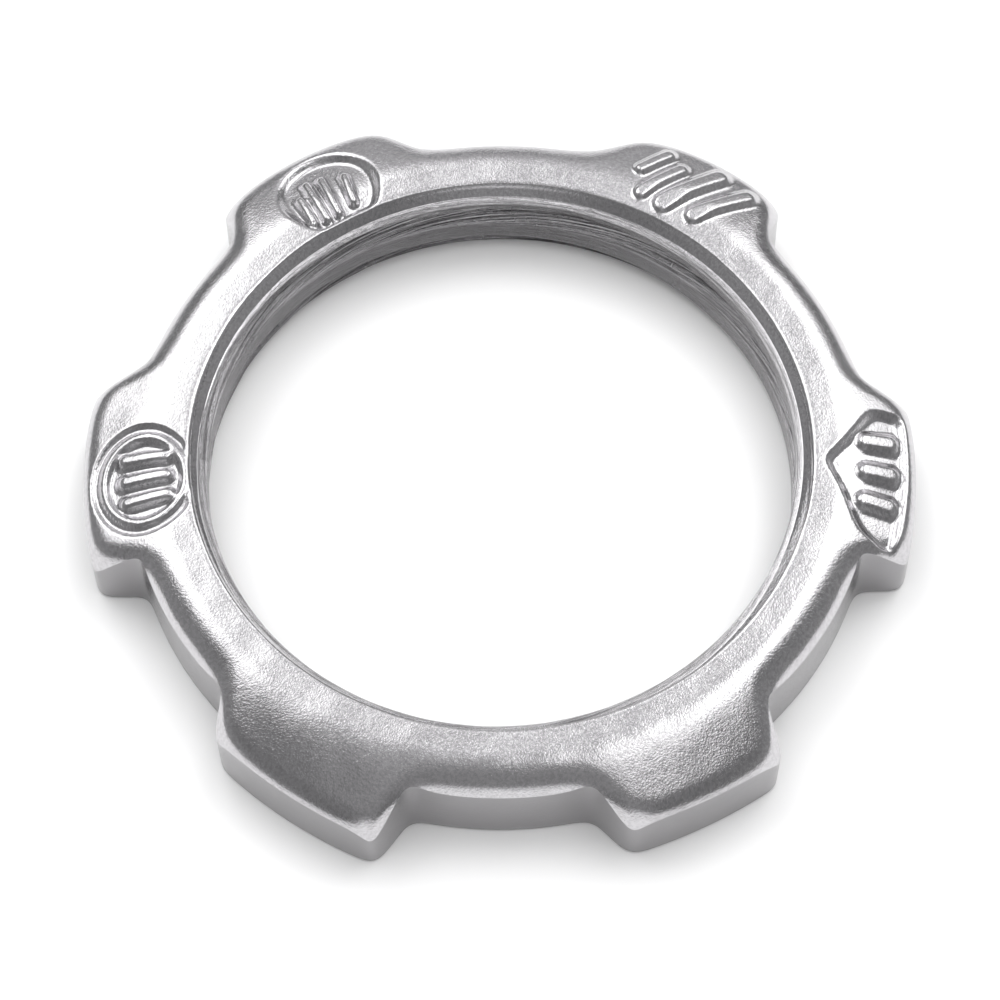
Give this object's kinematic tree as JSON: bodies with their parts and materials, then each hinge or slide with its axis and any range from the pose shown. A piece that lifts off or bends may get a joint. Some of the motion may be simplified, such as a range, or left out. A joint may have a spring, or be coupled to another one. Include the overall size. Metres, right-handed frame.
{
  "type": "conduit locknut",
  "caption": "Six-lug cast ring nut with a crowned face and a straight pipe thread, which clamps a conduit fitting in a box knockout.",
  "frame": {"origin": "centre of the flat bearing face", "axes": "+Z along the bore's axis towards the crowned, marked face; +X through the middle of the lug with the three-sided panel"},
  "size_m": [0.0282, 0.027, 0.0035],
  "materials": {
    "zinc_casting": "bright tumbled zinc die casting, satin, with a fine cast grain"
  },
  "bodies": {
    "root": {"locknut": "zinc_casting"}
  },
  "joints": []
}
